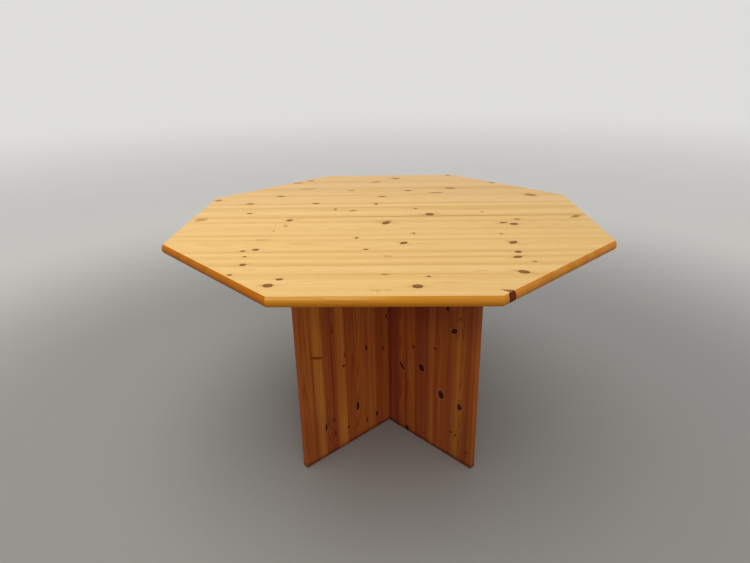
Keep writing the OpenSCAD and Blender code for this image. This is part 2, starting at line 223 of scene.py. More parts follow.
def pine(name, along, across, through, span, staves, tones, knots, streaks, look, seed):
    """Lacquered pine, edge-glued from staves.
    along, across and through are the board's own axes; span is its least and greatest place across, in metres.
    staves is a list of upper limits across, in mm. tones is a list of (place across in mm, 0 dark to 1 light)."""
    t = Tree(name)
    rnd = random.Random(seed)
    p = t.here()
    facing = t.facing()

    # the board's own axes
    if along == (1, 0, 0) and across == (0, 1, 0):
        q = p
    else:
        q = t.comb(t.v("DOT_PRODUCT", p, along), t.v("DOT_PRODUCT", p, across), t.v("DOT_PRODUCT", p, through))

    # a gentle waver of everything, so that nothing is ruled
    waver = t.noise(t.v("MULTIPLY", q, (3.0, 22.0, 22.0)), 1.0, 2.0, 0.55, colour=True)
    waver = t.v("SUBTRACT", waver, (0.5, 0.5, 0.5))
    qw = t.v("MULTIPLY_ADD", waver, (0.006, 0.0055, 0.0045), q)
    ragged = t.noise(t.v("MULTIPLY", q, (160.0, 260.0, 160.0)), 1.0, 1.0, 0.5, colour=True)
    ragged = t.v("SUBTRACT", ragged, (0.5, 0.5, 0.5))
    qk = t.v("MULTIPLY_ADD", ragged, (0.0030, 0.0024, 0.0024), q)

    low, high = span
    width = high - low
    u, v, w = t.sep(q)
    place = t.m("MULTIPLY_ADD", v, 1.0 / width, -low / width)

    # each stave: where its pith lies, how it tilts and how tight its rings are
    edges = [low * 1000.0] + [float(s) for s in staves]
    spans = list(zip(edges[:-1], edges[1:]))
    first, second = [], []
    for i, (a, b) in enumerate(spans):
        mid = (a + b) / 2000.0
        flat = rnd.random() < look.get("flat", 0.45)
        away = rnd.uniform(-0.016, 0.016) if flat else rnd.choice((-1, 1)) * rnd.uniform(0.045, 0.085)
        depth = rnd.choice((-1, 1)) * (rnd.uniform(0.020, 0.040) if flat else rnd.uniform(0.030, 0.075))
        at = (a / 1000.0 - low) / width
        first.append((max(0.0, at), ((mid + away - (low - 0.1)) / (width + 0.2), 0.5 + depth / 0.2, rnd.random())))
        second.append((max(0.0, at), (rnd.random(), rnd.random(), (i + 1) / 40.0)))
    pa, pb, pc = t.rgb(t.ramp(place, first))
    ta, tb, ident = t.rgb(t.ramp(place, second))

    # the grain parts round each knot, and joins again behind it
    shift = None
    cores = {}
    tails = None
    for k in knots:
        ku, kv, ru, rv, tilt, kind = k
        c = Vector((ku / 1000.0, kv / 1000.0, 0.0))
        s = Vector((1000.0 / ru, 1000.0 / rv, 0.0))
        if tilt:
            n = t.node("ShaderNodeMapping")
            n.vector_type = "TEXTURE"
            t.put(n.inputs["Vector"], qk)
            n.inputs["Location"].default_value = c
            n.inputs["Rotation"].default_value = (0.0, 0.0, math.radians(tilt))
            n.inputs["Scale"].default_value = (ru / 1000.0, rv / 1000.0, 1e3)
            local = n.outputs[0]
        else:
            local = t.v("MULTIPLY_ADD", qk, s, (-c.x * s.x, -c.y * s.y, 0.0))
        if kind == "w":
            la, lb, _ = t.sep(local)
            slope = t.m("DIVIDE", lb, t.m("MAXIMUM", la, 0.04))
            d = t.m("MULTIPLY", t.m("MAXIMUM", t.m("MULTIPLY", la, -1.0), 0.0), 60.0)
            d = t.m("MULTIPLY_ADD", t.m("MAXIMUM", t.m("SUBTRACT", la, 1.0), 0.0), 9.0, d)
            d = t.m("MULTIPLY_ADD", slope, slope, d)
            cores["c"] = t.m("MINIMUM", cores["c"], d) if "c" in cores else d
            continue
        d = t.v("DOT_PRODUCT", local, local)
        cores[kind] = t.m("MINIMUM", cores[kind], d) if kind in cores else d
        if kind in ("d", "m") and rv < 2.5 * ru and ru < 20:
            # the wood beside a knot stays dark for a little way along the grain
            long = t.v("MULTIPLY", local, (0.34 if ru >= rv else 0.26, 1.7, 0.0))
            long = t.v("DOT_PRODUCT", long, long)
            tails = t.m("MINIMUM", tails, long) if tails is not None else long
        if (kind != "f" or rv > 8) and rv < 2.5 * ru:
            wide = t.v("DOT_PRODUCT", local, t.v("MULTIPLY", local, (0.22, 0.8, 0.0)))
            fall = t.m("POWER", 0.52, wide)
            side = t.v("DOT_PRODUCT", local, (0.0, -0.86 * rv / 1000.0, 0.0))
            shift = t.m("MULTIPLY_ADD", side, fall, shift if shift is not None else 0.0)

    # rings about a pith that leans a little along the board
    uw, vw, ww = t.sep(qw)
    if shift is not None:
        vw = t.m("ADD", vw, shift)
    lean = look.get("lean", 0.030)
    pith_v = t.m("MULTIPLY_ADD", pa, width + 0.2, low - 0.1)
    pith_v = t.m("MULTIPLY_ADD", t.m("MULTIPLY_ADD", ta, 2 * lean, -lean), uw, pith_v)
    pith_w = t.m("MULTIPLY_ADD", pb, 0.2, -0.1 + look.get("through_mid", 0.0))
    pith_w = t.m("MULTIPLY_ADD", t.m("MULTIPLY_ADD", tb, 2 * lean, -lean), uw, pith_w)
    away = t.v("LENGTH", t.comb(0.0, t.m("SUBTRACT", vw, pith_v), t.m("SUBTRACT", ww, pith_w)))
    bow = t.noise(t.v("MULTIPLY", q, (1.6, 5.0, 5.0)), 1.0, 1.0, 0.5, dims="4D", w=ident)
    away = t.m("MULTIPLY_ADD", bow, look.get("bow", 0.010), away)
    tight = t.m("MULTIPLY_ADD", pc, look.get("tight", (330.0, 140.0))[1], look.get("tight", (330.0, 140.0))[0])
    rings = t.m("MULTIPLY", away, tight)
    frac = t.m("FRACT", rings)
    year = t.white(t.m("FLOOR", rings))[0]
    late = t.m("MULTIPLY", t.smooth(frac, 0.42, 0.92), t.smooth(frac, 1.0, 0.94))
    late = t.m("MULTIPLY", late, t.m("MULTIPLY_ADD", year, 0.75, 0.4))
    # rings of years that grew well or badly run in wider bands
    wide_band = t.noise(None, 0.16, 1.0, 0.5, dims="1D", w=rings)

    # fibres, and the short dark canals in them
    fibre = t.noise(t.v("MULTIPLY", q, (5.0, 700.0, 700.0)), 1.0, 2.0, 0.6)
    streak = t.noise(t.v("MULTIPLY", qw, (1.3, 150.0, 150.0)), 1.0, 2.0, 0.6, dims="4D", w=ident)
    canal = t.noise(t.v("MULTIPLY", q, (110.0, 1500.0, 1500.0)), 1.0, 0.0, 0.5)
    canal = t.smooth(canal, 0.70, 0.80)
    cloud = t.noise(t.v("MULTIPLY", q, (2.4, 9.0, 9.0)), 1.0, 2.0, 0.5)

    # tone of the board at this place
    centre, spread = sum(g for _, g in tones) / len(tones), look.get("spread", 1.0)
    stops = [((y / 1000.0 - low) / width, (centre + (g - centre) * spread,) * 3) for y, g in tones]
    tone = t.rgb(t.ramp(t.m("MULTIPLY_ADD", t.m("SUBTRACT", vw, v), 1.0 / width, place), stops, "EASE"))[0]
    tone = t.m("MULTIPLY_ADD", t.m("SUBTRACT", cloud, 0.5), look.get("cloud", 0.5), tone)
    tone = t.m("MULTIPLY_ADD", t.m("SUBTRACT", streak, 0.5), look.get("streak", 0.5), tone)
    tone = t.m("MULTIPLY_ADD", t.m("SUBTRACT", wide_band, 0.5), look.get("years", 0.35), tone, clamp=True)
    colour = t.ramp(tone, [(0.0, look["dark"]), (0.5, look["mid"]), (1.0, look["light"])], "LINEAR")
    amount = t.m("MULTIPLY", late, look.get("late_amount", 0.85))
    colour = t.mix(amount, colour, t.tint(colour, look["late"]))
    colour = t.tint(colour, t.comb(*[t.m("MULTIPLY_ADD", t.m("SUBTRACT", fibre, 0.5), g, 1.0) for g in look.get("fibre", (0.14, 0.20, 0.28))]))
    colour = t.mix(t.m("MULTIPLY", canal, 0.35), colour, t.tint(colour, (0.55, 0.42, 0.35)))

    # stain takes unevenly, redder in one place and browner in another
    if "blotch" in look:
        blotch = t.noise(t.v("MULTIPLY", q, (5.0, 12.0, 12.0)), 1.0, 2.0, 0.55)
        colour = t.mix(t.smooth(blotch, 0.35, 0.65, 0.0, 0.5), colour, t.tint(colour, look["blotch"]))
    # painted shade: darker along the bottom two centimetres or so of the board, where it meets the floor
    if "painted_foot_shade" in look:
        colour = t.mix(t.smooth(u, 0.024, 0.004), colour, t.tint(colour, look["painted_foot_shade"]))
        # painted shade: the lower outer ends of the board are made a little darker
        painted_low_end_shade = t.m("MULTIPLY", t.smooth(u, 0.24, 0.10), t.smooth(t.m("ABSOLUTE", v), 0.20, 0.32))
        colour = t.mix(painted_low_end_shade, colour, t.tint(colour, look["low_end"]))
    # painted shadow: the upper part of the board, from about 0.38 m up, is darkened where the top's shadow falls
    if "shaded" in look:
        colour = t.mix(t.smooth(u, 0.38, 0.52), colour, t.tint(colour, look["shaded"]))

    # painted reflection: bluer towards the rear edge, where the lacquer's sheen shows at grazing angles
    if "bleach" in look:
        colour = t.mix(t.smooth(v, *look["bleach"][0], kind="LINEAR"), colour, t.tint(colour, look["bleach"][1]))

    # patches where the stain has stayed golden: (along, across, half length, half width, how golden), in mm
    if "golden" in look:
        gold = None
        for gu, gv, ru, rv, how in look["golden"]:
            local = t.v("MULTIPLY_ADD", qk, (1000.0 / ru, 1000.0 / rv, 0.0), (-gu / ru, -gv / rv, 0.0))
            g = t.m("MULTIPLY", t.m("POWER", 0.30, t.v("DOT_PRODUCT", local, local)), how)
            gold = t.m("MAXIMUM", gold, g) if gold is not None else g
        colour = t.mix(gold, colour, t.tint(colour, (1.06, 1.28, 1.10)))

    # dark lines and streaks along the grain
    if streaks:
        dark = None
        for su, sv, ru, rv, how in streaks:
            s = Vector((1000.0 / ru, 1000.0 / rv, 0.0))
            local = t.v("MULTIPLY_ADD", qk if rv > 4 else q, s, (-su / ru, -sv / rv, 0.0))
            d = t.v("DOT_PRODUCT", local, local)
            g = t.m("MULTIPLY", t.m("POWER", 0.30, d), how)
            dark = t.m("MAXIMUM", dark, g) if dark is not None else g
        colour = t.mix(dark, colour, t.tint(colour, look["streak_tint"]))

    # the joint between two staves is a hair line
    nearby = t.rgb(t.ramp(t.m("ADD", place, 0.00045 / width), second))[2]
    joint = t.m("GREATER_THAN", t.m("ABSOLUTE", t.m("SUBTRACT", nearby, ident)), 0.004)
    colour = t.mix(t.m("MULTIPLY", joint, look.get("joint", 0.30)), colour, t.tint(colour, (0.42, 0.30, 0.24)))

    # knots
    if tails is not None:
        tail = t.m("MULTIPLY", t.m("POWER", 0.22, tails), look.get("tail", 0.75))
        colour = t.mix(tail, colour, t.tint(colour, look["tail_tint"]))
    core_mask = None
    for kind in ("f", "n", "m", "d", "c"):
        if kind not in cores:
            continue
        d = t.m("SQRT", cores[kind])
        shade = look["knots"][kind]
        halo = t.m("MULTIPLY", t.smooth(d, shade["halo_to"], 0.85), shade["halo"])
        colour = t.mix(halo, colour, t.tint(colour, shade["halo_tint"]))
        whorl = t.m("SINE", t.m("MULTIPLY_ADD", t.noise(qk, 220.0, 1.0, 0.5), 5.0, t.m("MULTIPLY", d, 17.0)))
        whorl = t.m("MULTIPLY_ADD", whorl, 0.5, 0.5)
        heart = t.mix(whorl, shade["heart"], shade["heart2"])
        inside = t.smooth(d, shade["edge"][1], shade["edge"][0])
        colour = t.mix(t.m("MULTIPLY", inside, shade["amount"]), colour, heart)
        rim = t.m("MULTIPLY", t.smooth(d, shade.get("rim_from", 0.66), 0.86), t.smooth(d, 1.12, 0.96))
        colour = t.mix(t.m("MULTIPLY", rim, shade["rim_amount"]), colour, shade["rim"])
        core_mask = t.m("MAXIMUM", core_mask, inside) if core_mask is not None else inside

    # end grain drinks the stain; the long edges are tinted darker and oranger than the faces, partly by the stain and
    # partly as painted shade
    end = t.m("ABSOLUTE", t.v("DOT_PRODUCT", facing, along))
    rise = t.v("DOT_PRODUCT", facing, through)
    face = t.m("ABSOLUTE", rise)
    if look.get("crowned"):
        side = t.m("MULTIPLY", t.smooth(rise, 0.97, 0.70), t.smooth(rise, -0.97, -0.90))
    else:
        side = t.smooth(face, 0.55, 0.02)
    colour = t.mix(side, colour, t.tint(colour, look["side"]))
    # painted shade: the crowned edge darkens towards its lower arris
    if look.get("crowned"):
        painted_low_shade = t.smooth(t.m("SUBTRACT", w, look["through_mid"]), 0.007, -0.009)
        colour = t.mix(t.m("MULTIPLY", side, painted_low_shade), colour, t.tint(colour, look["low"]))
        # painted highlight: the upper part of the front edge, on its left half, is made paler and much bluer
        painted_front_highlight = t.m("MULTIPLY", t.smooth(u, 0.06, -0.10), t.smooth(t.v("DOT_PRODUCT", facing, across), -0.78, -0.88))
        painted_front_highlight = t.m("MULTIPLY", painted_front_highlight, t.smooth(t.m("SUBTRACT", w, look["through_mid"]), 0.0030, 0.0085))
        colour = t.mix(t.m("MULTIPLY", side, painted_front_highlight), colour, t.tint(colour, look["painted_front_highlight"]))
        # painted shade and painted reflection: sloping edges facing -x are made darker and much less blue, those facing
        # +x paler and much bluer
        turn = t.v("DOT_PRODUCT", facing, along)
        colour = t.mix(t.m("MULTIPLY", side, t.smooth(turn, -0.20, -0.55)), colour, t.tint(colour, look["left"]))
        colour = t.mix(t.m("MULTIPLY", side, t.smooth(turn, 0.20, 0.55)), colour, t.tint(colour, look["right"]))
        if "c" in cores:
            branch = t.smooth(t.m("SQRT", cores["c"]), 1.10, 0.95)
            colour = t.mix(t.m("MULTIPLY", side, branch), colour, t.tint(colour, (0.55, 0.46, 0.42)))
    end_mask = t.smooth(end, 0.20, 0.55)
    speck = t.noise(t.v("MULTIPLY", q, (60.0, 420.0, 420.0)), 1.0, 2.0, 0.6)
    colour = t.mix(end_mask, colour, t.tint(colour, look["end"]))
    colour = t.mix(t.m("MULTIPLY", end_mask, t.smooth(speck, 0.40, 0.70)), colour, t.tint(colour, (0.80, 0.70, 0.60)))

    # the eased arrises are rubbed a little paler
    if look.get("crowned"):
        arris = t.m("MULTIPLY", t.smooth(face, 0.60, 0.78), t.smooth(face, 0.99, 0.92))
    else:
        arris = t.m("MULTIPLY", t.smooth(face, 0.25, 0.60), t.smooth(face, 0.96, 0.75))
    rub = t.smooth(t.noise(q, 34.0, 2.0, 0.6), 0.42, 0.68)
    if look.get("crowned"):
        # painted highlight: a thin paler, warmer line on the top face just inside the arris of the octagon's sloping
        # sides
        out = t.m("ADD", t.m("ABSOLUTE", u), t.m("ABSOLUTE", v))
        painted_arris_highlight = t.m("MULTIPLY", t.smooth(out, 0.8440, 0.8470), t.smooth(rise, 0.95, 0.99))
        colour = t.mix(painted_arris_highlight, colour, t.tint(colour, (1.10, 1.01, 0.88)))
    colour = t.mix(t.m("MULTIPLY", t.m("MULTIPLY", arris, rub), look.get("wear", 0.35)), colour, t.tint(colour, (1.18, 1.22, 1.25)))

    # sheen: satin lacquer, duller over knots and where it has been handled
    smear = t.noise(q, 7.0, 3.0, 0.6)
    rough = t.m("MULTIPLY_ADD", smear, 0.16, look.get("rough", 0.34) - 0.08)
    rough = t.m("MULTIPLY_ADD", late, -0.05, rough)
    if core_mask is not None:
        rough = t.m("MULTIPLY_ADD", core_mask, 0.07, rough)
    rough = t.m("MULTIPLY_ADD", end_mask, 0.08, rough)
    rough = t.m("MULTIPLY_ADD", arris, 0.05, rough, clamp=True)

    # relief: the fibres, and slow waves left by the plane, both under the lacquer
    f2 = t.noise(t.v("MULTIPLY", q, (9.0, 520.0, 520.0)), 1.0, 1.0, 0.5)
    slow = t.noise(t.v("MULTIPLY", q, (5.0, 16.0, 16.0)), 1.0, 1.0, 0.5)
    grit = t.noise(q, 900.0, 0.0, 0.5)
    height = t.m("MULTIPLY_ADD", slow, 3.0, t.m("MULTIPLY_ADD", grit, 0.12, f2))
    normal = t.bump(height, look.get("bump", 0.22), 0.00016)

    return t.finish(colour, rough, normal, Specular_IOR_Level=look.get("specular", 0.5), IOR=1.5,
                    Coat_Weight=look.get("coat", 0.10), Coat_Roughness=0.20, Coat_IOR=1.5)


TOP_LOOK = {
    "dark": lin(216, 171, 94), "mid": lin(231, 190, 120), "light": lin(241, 205, 141), "crowned": True,
    "late": (0.82, 0.68, 0.50), "late_amount": 0.50,
    "streak_tint": (0.60, 0.45, 0.30), "tail_tint": (0.56, 0.42, 0.24), "tail": 0.60,
    # edge tints: side is partly the stain and partly painted shade, low is painted shade, left and right are painted
    # shade and painted reflection, and the front edge's bluer tint is a painted highlight
    "side": (0.778, 0.478, 0.101), "end": (0.94, 0.76, 0.34), "low": (0.79, 0.70, 0.52),
    "left": (0.908, 0.888, 0.358), "right": (1.206, 1.492, 5.7), "painted_front_highlight": (1.15, 1.58, 4.20),
    "cloud": 0.30, "streak": 0.37, "years": 0.34, "bow": 0.012, "fibre": (0.10, 0.15, 0.22),
    "tight": (330.0, 160.0), "flat": 0.40, "joint": 0.16, "through_mid": 0.7245,
    "rough": 0.36, "coat": 0.0, "specular": 0.07, "wear": 0.20,
    "knots": {
        "d": {"heart": lin(152, 100, 50), "heart2": lin(124, 77, 32), "rim": lin(90, 48, 8), "amount": 0.94,
              "rim_amount": 0.92, "edge": (0.72, 1.08), "rim_from": 0.48, "halo": 0.50, "halo_to": 1.9, "halo_tint": (0.88, 0.74, 0.50)},
        "c": {"heart": lin(164, 102, 66), "heart2": lin(132, 72, 44), "rim": lin(80, 38, 20), "amount": 0.96,
              "rim_amount": 0.90, "edge": (0.86, 1.04), "halo": 0.40, "halo_to": 1.5, "halo_tint": (0.90, 0.76, 0.52)},
        "m": {"heart": lin(168, 120, 54), "heart2": lin(148, 100, 40), "rim": lin(124, 78, 28), "amount": 0.88,
              "rim_amount": 0.50, "edge": (0.60, 1.15), "halo": 0.45, "halo_to": 2.0, "halo_tint": (0.90, 0.76, 0.52)},
        "n": {"heart": lin(188, 140, 78), "heart2": lin(170, 120, 62), "rim": lin(150, 102, 48), "amount": 0.72,
              "rim_amount": 0.40, "edge": (0.40, 1.25), "halo": 0.35, "halo_to": 2.0, "halo_tint": (0.91, 0.78, 0.56)},
        "f": {"heart": lin(204, 154, 90), "heart2": lin(188, 136, 74), "rim": lin(174, 120, 60), "amount": 0.52,
              "rim_amount": 0.35, "edge": (0.30, 1.30), "halo": 0.30, "halo_to": 2.0, "halo_tint": (0.92, 0.80, 0.60)},
    },
}

FRONT_KNOTS = [
    (-255, -540.6, 10.8, 9.8, 0, "d"), (-236.4, -504.5, 7.2, 6, 0, "d"), (-356.8, -476, 5.5, 4.6, 0, "d"),
    (-343, -410, 6.8, 7.8, 15, "d"), (-352.4, -352.5, 4, 4.6, 0, "d"), (-336.4, -300, 8, 7.6, 0, "d"),
    (-367.5, -310.5, 6.8, 5.2, 0, "d"), (-80.6, -208, 3.6, 7.8, 0, "d"), (-50.5, -303.5, 6.8, 4.4, 8, "d"),
    (-293.5, -33, 6.6, 9.5, -12, "d"), (-295, -30, 11, 20, -5, "f"), (-271, -17, 22, 4, 24, "f"), (-294.8, -91, 5.6, 10, 8, "n"),
    (-321, -141, 2.4, 6, 14, "m"), (-335, -220, 19, 6, 0, "f"), (0.2, -62.4, 9.5, 20, -24, "m"),
    (-2.6, -71, 8.5, 12, -18, "d"), (-17, -568.5, 12, 3.4, 0, "f"), (8, -568, 8, 3.2, 0, "f"), (-13, -577, 3, 2.6, 0, "f"),
    (1, -478.5, 7.5, 3.5, 0, "m"), (-568, -16, 16, 21, -22, "n"),
    (72.8, -549, 10.8, 10.2, 0, "d"), (99.6, -492, 4.6, 3.4, 0, "d"), (317.5, -468, 12.5, 9.5, -24, "d"),
    (357.3, -401, 5.6, 3, 0, "d"), (323.5, -368, 10, 7.4, 24, "d"), (331.4, -331.5, 8, 7.8, -8, "d"),
    (333.4, -257, 8, 14, -44, "d"), (315, -183, 3.3, 5.6, -14, "m"), (367.4, -91, 11, 10, 0, "d"),
    (339, -77, 12, 5.5, 20, "d"), (386.3, -42, 8.5, 7.5, 0, "m"), (565, -17, 15, 9, 42, "m"),
    (47.4, -255, 7, 12, -38, "d"), (76, -172, 3.8, 7.4, 0, "m"), (6, -357, 11, 7, -24, "f"),
    (246.5, -567.5, 26, 8.2, -25, "w"), (271.3, -584.2, 11.6, 5.6, 45, "c"),
]
FRONT_STREAKS = [
    (153, -529.2, 46, 2.5, 0.45), (41, -476.9, 330, 1.6, 0.55), (-59, -475.9, 60, 3, 0.40), (2.5, -475.9, 20, 3.5, 0.50),
    (301, -463, 40, 2.5, 0.35), (-239, -321.4, 260, 5, 0.22), (151, -363.4, 320, 4, 0.22), (-19, -414.7, 360, 6, 0.22),
    (251, -321.4, 160, 3, 0.28), (-99, -55, 420, 4, 0.22), (301, -129, 200, 4, 0.20), (201, -225.1, 300, 4, 0.20),
    (-419, -183.3, 160, 4, 0.22), (145, -0.6, 435, 2.6, 1.00),
]
FRONT_STAVES = [-541, -477, -423, -365, -319, -271, -225, -185, -142, -96, -53, 0]
FRONT_TONES = [
    (-600, 0.60), (-571, 0.60), (-546, 0.54), (-519.3, 0.74), (-494.6, 0.36), (-476.9, 0.24), (-464, 0.52),
    (-449.2, 0.70), (-432.4, 0.74), (-417.6, 0.30), (-402.8, 0.34), (-388, 0.70), (-375.2, 0.50), (-363.4, 0.27),
    (-341.5, 0.70), (-321.4, 0.22), (-300.3, 0.64), (-273.2, 0.60), (-243.1, 0.52), (-223.1, 0.37), (-203, 0.64),
    (-183.3, 0.33), (-156.6, 0.68), (-129, 0.40), (-99.4, 0.56), (-72.8, 0.70), (-55, 0.28), (-30, 0.60),
    (-5, 0.40), (0, 0.40),
]

REAR_KNOTS = [
    (-583, 219, 9, 12, 0, "m"), (-375, 268, 12, 7, -6, "d"), (-460.7, 169.5, 12.5, 11, 0, "m"),
    (-435, 49.5, 9.5, 5, -8, "d"), (-239, 166, 11, 7, 0, "d"), (-166, 90.5, 4, 12, 0, "m"),
    (-108, 69.5, 10, 5, 6, "d"), (-37, 152.5, 5.4, 9, 0, "d"), (-19.5, 251.5, 12, 9, 0, "m"),
    (-133.5, 346, 12, 9, 0, "n"), (-48, 480, 18, 13, 24, "n"), (-295, 377, 30, 12, 6, "f"),
    (-303.5, 516, 13, 13, 0, "n"), (-348, 479, 19, 12, 0, "n"), (27, 539, 16, 11, -24, "m"),
    (71.5, 335.5, 10.5, 7, 0, "d"), (225, 365, 19, 10, 0, "m"), (170, 299, 24, 7, 10, "m"),
    (490, 253, 20, 14, -34, "m"), (391, 449, 9, 10, 0, "m"), (89.8, 87.5, 4.4, 6, 0, "d"),
    (131, 20, 12, 13.5, 16, "d"), (294, 42, 5, 8, -10, "n"), (235, 586, 9, 12, 0, "n"),
]
REAR_STREAKS = [
    (-499, 49.5, 60, 4, 0.40), (-179, 72.2, 70, 4, 0.40), (121, 293.9, 70, 5, 0.30), (221, 295.9, 50, 5, 0.25),
    (-349, 270.3, 80, 4, 0.30), (541, 249.8, 70, 6, 0.35), (1, 7.9, 560, 2.2, 0.20), (151, 54.4, 300, 5, 0.16),
    (-149, 493.8, 320, 7, 0.20), (151, 374.3, 380, 7, 0.25), (-249, 275.2, 260, 5, 0.22), (201, 162.4, 360, 5, 0.24),
    (-99, 108.2, 400, 6, 0.24), (301, 84.1, 220, 5, 0.20), (-39, 406, 300, 8, 0.15), (145, 0.6, 435, 2.6, 1.00),
]
REAR_STAVES = [25, 70, 111, 153, 203, 250, 291, 339, 390, 443, 497, 547, 600]
REAR_TONES = [
    (0, 0.30), (8.9, 0.36), (24.7, 0.58), (49.5, 0.82), (64.3, 0.60), (79.2, 0.36), (108.2, 0.27),
    (120.6, 0.50), (132, 0.74), (147.2, 0.52), (160.5, 0.32), (184.2, 0.62), (218.4, 0.55), (249.8, 0.48),
    (275.2, 0.32), (291, 0.50), (306.8, 0.56), (336.6, 0.46), (351.5, 0.32), (371.3, 0.25), (388.1, 0.34),
    (411.2, 0.68), (447.3, 0.55), (493.8, 0.42), (540.3, 0.54), (592, 0.50), (600, 0.50),
]

LEG_LOOK = {
    "dark": lin(124, 51, 37), "mid": lin(163, 87, 38), "light": lin(198, 129, 52),
    # the foot and low-end tints are painted shade near the floor
    "blotch": (1.04, 0.86, 0.92), "painted_foot_shade": (0.55, 0.42, 0.46), "low_end": (0.85, 0.86, 0.92),
    "late": (0.70, 0.50, 0.40), "late_amount": 0.80,
    "streak_tint": (0.42, 0.28, 0.25), "tail_tint": (0.62, 0.42, 0.34), "tail": 0.40,
    "side": (0.92, 0.86, 0.72), "end": (0.80, 0.72, 0.66),
    "cloud": 0.36, "streak": 0.60, "years": 0.34, "bow": 0.012,
    "tight": (320.0, 150.0), "flat": 0.45, "joint": 0.30,
    "rough": 0.44, "coat": 0.0, "specular": 0.06, "wear": 0.15, "fibre": (0.24, 0.30, 0.36),
    "knots": {
        "d": {"heart": lin(75, 17, 5), "heart2": lin(55, 10, 3), "rim": lin(45, 8, 3), "amount": 0.97,
              "rim_amount": 0.8, "edge": (0.80, 1.08), "halo": 0.85, "halo_to": 1.50, "halo_tint": (1.32, 2.10, 4.20)},
        "m": {"heart": lin(110, 36, 13), "heart2": lin(88, 25, 9), "rim": lin(74, 20, 8), "amount": 0.90,
              "rim_amount": 0.6, "edge": (0.66, 1.14), "halo": 0.4, "halo_to": 2.0, "halo_tint": (0.84, 0.66, 0.55)},
        "n": {"heart": lin(134, 54, 13), "heart2": lin(114, 43, 11), "rim": lin(100, 37, 10), "amount": 0.88,
              "rim_amount": 0.5, "edge": (0.60, 1.15), "halo": 0.35, "halo_to": 1.9, "halo_tint": (0.86, 0.70, 0.56)},
        "f": {"heart": lin(142, 66, 24), "heart2": lin(122, 52, 18), "rim": lin(106, 44, 16), "amount": 0.6,
              "rim_amount": 0.4, "edge": (0.40, 1.25), "halo": 0.40, "halo_to": 2.0, "halo_tint": (0.84, 0.70, 0.58)},
    },
}

# along is up, so a knot's first number is its height above the floor
PANEL_A_KNOTS = [
    (407, -17, 8.5, 3.8, 0, "d"), (328, -107.6, 10.5, 5.2, -10, "d"), (301, -203, 5, 5, 0, "m"), (295.5, -33, 5.5, 4, 20, "m"),
    (338, -198, 9, 3, 0, "n"), (439, -243, 12, 4.5, 0, "n"), (126.7, -151.2, 16, 7, 0, "d"),
    (112, -284.4, 14, 4, 4, "d"), (123.5, -252, 5, 5, 0, "m"), (67, -192.6, 5, 4.5, -20, "d"), (52, -111.4, 10, 3, -8, "d"),
    (56, -66.3, 9, 6.8, 0, "d"), (72, -249, 9, 3, -12, "m"), (6, -127, 4, 6, 0, "d"),
    (370.5, -306, 4.2, 25, 23, "n"),
    (505, 96, 9, 8, 0, "d"), (372, 151, 12, 8, 14, "d"), (238, 58, 7, 6, 0, "m"), (160, 196, 15, 10, -12, "d"),
    (441, 246, 8, 6, 0, "m"), (318, 298, 11, 9, 0, "d"), (92, 262, 9, 6, 0, "m"), (60, 118, 6, 6, 0, "d"),
    (540, 322, 12, 7, 0, "m"), (262, 345, 7, 5, 0, "d"),
]
PANEL_A_STREAKS = [
    (296, -249.6, 190, 2.2, 0.75), (56, -259.6, 70, 3, 0.50), (326, -322.6, 230, 2.6, 0.45), (116, -319.6, 120, 3, 0.40),
    (426, -342.6, 120, 2.4, 0.40), (466, -147.6, 160, 3, 0.35), (216, -87.6, 160, 4, 0.30), (426, -57.6, 200, 4, 0.30),
    (330, 70, 180, 2.5, 0.50), (180, 222, 160, 2.4, 0.50), (450, 180, 150, 3, 0.35), (120, 322, 90, 2.5, 0.50),
]
PANEL_A_STAVES = [-338, -285, -238, -195, -163, -125, -70, -28, 14, 62, 112, 158, 206, 258, 304, 344, 368]
PANEL_A_TONES = [
    (-368, 0.60), (-347.6, 0.64), (-337.6, 0.70), (-325.6, 0.50), (-315.6, 0.72), (-301.6, 0.87), (-288.6, 0.92),
    (-281.6, 0.36), (-259.6, 0.38), (-249.6, 0.16), (-240.6, 0.38), (-229.6, 0.64), (-217.6, 0.78), (-201.6, 0.92),
    (-194.6, 0.46), (-181.6, 0.45), (-165.6, 0.39), (-149.6, 0.61), (-127.6, 0.57), (-109.6, 0.44), (-95.6, 0.66),
    (-77.6, 0.58), (-63.6, 0.32), (-33.6, 0.32), (-19.6, 0.54), (-5.6, 0.22), (40, 0.46), (100, 0.62),
    (150, 0.40), (205, 0.66), (262, 0.46), (368, 0.60),
]

PANEL_B_KNOTS = [
    (450, 283.9, 7, 14, -34, "d"), (514, 257.5, 9, 5, 0, "d"), (497, 306, 5, 4, 0, "n"), (366, 214, 4.5, 9, -10, "n"),
    (336.5, 124, 7.5, 5, -14, "m"), (246.5, 72.5, 5, 17, 48, "d"), (275, 158, 12.5, 11, -24, "d"),
    (213, 240.5, 14, 11, -14, "d"), (202.5, 311.5, 12, 5.5, 0, "d"), (203, 316.5, 6.5, 7.5, 0, "d"), (93.5, 303, 4, 4.5, 0, "d"),
    (97, 284, 3.5, 5, 0, "m"), (50, 347, 6, 6, 0, "n"), (14.5, 96, 10, 8, 0, "d"),
    (420, -92, 10, 7, 0, "d"), (538, -171, 8, 7, 0, "m"), (300, -138, 14, 9, 10, "d"), (186, -58, 7, 5, 0, "m"),
    (142, -214, 12, 9, -16, "d"), (352, -268, 8, 6, 0, "m"), (470, -318, 11, 9, 0, "d"), (246, -338, 6, 5, 0, "m"),
    (66, -296, 9, 8, 0, "d"), (88, -122, 5, 5, 0, "m"),
]
